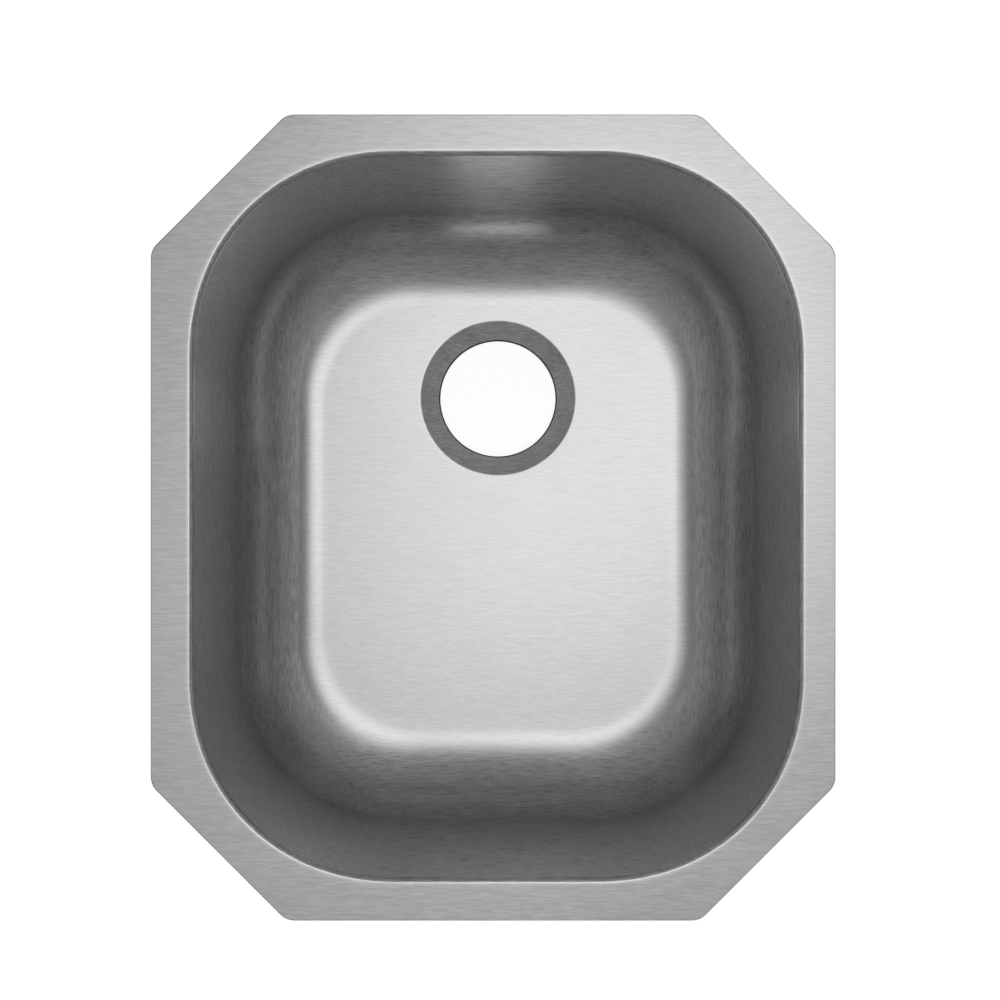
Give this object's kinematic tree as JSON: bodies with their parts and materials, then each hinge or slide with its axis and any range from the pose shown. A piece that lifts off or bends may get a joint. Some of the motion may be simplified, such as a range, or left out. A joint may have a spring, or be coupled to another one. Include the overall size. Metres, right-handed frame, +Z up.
{
  "type": "undermount sink",
  "caption": "Undermount stainless sink: deep rounded bowl in a flat flange with clipped corners, conical drain recess with open hole, undercoat and damping pads.",
  "frame": {"origin": "centre of the flange outline, on the plane of the flange's top face, where the worktop's underside lies", "axes": "+Z up out of the bowl, +Y to the back where the drain is, +X to the user's right"},
  "size_m": [0.4388, 0.5166, 0.2134],
  "materials": {
    "brushed_stainless": "satin brushed stainless steel, grain along X on the flange and floor and around the bowl on the walls",
    "undercoat": "sprayed grey sound-deadening coat, matt and finely pebbled",
    "damping_rubber": "matt black rubber sheet"
  },
  "bodies": {
    "root": {"bowl_shell": "brushed_stainless", "undercoating": "undercoat", "floor_pad_front": "damping_rubber", "floor_pad_left": "damping_rubber", "floor_pad_right": "damping_rubber", "wall_pad_right": "damping_rubber", "wall_pad_left": "damping_rubber", "wall_pad_back": "damping_rubber", "wall_pad_front": "damping_rubber"}
  },
  "joints": []
}
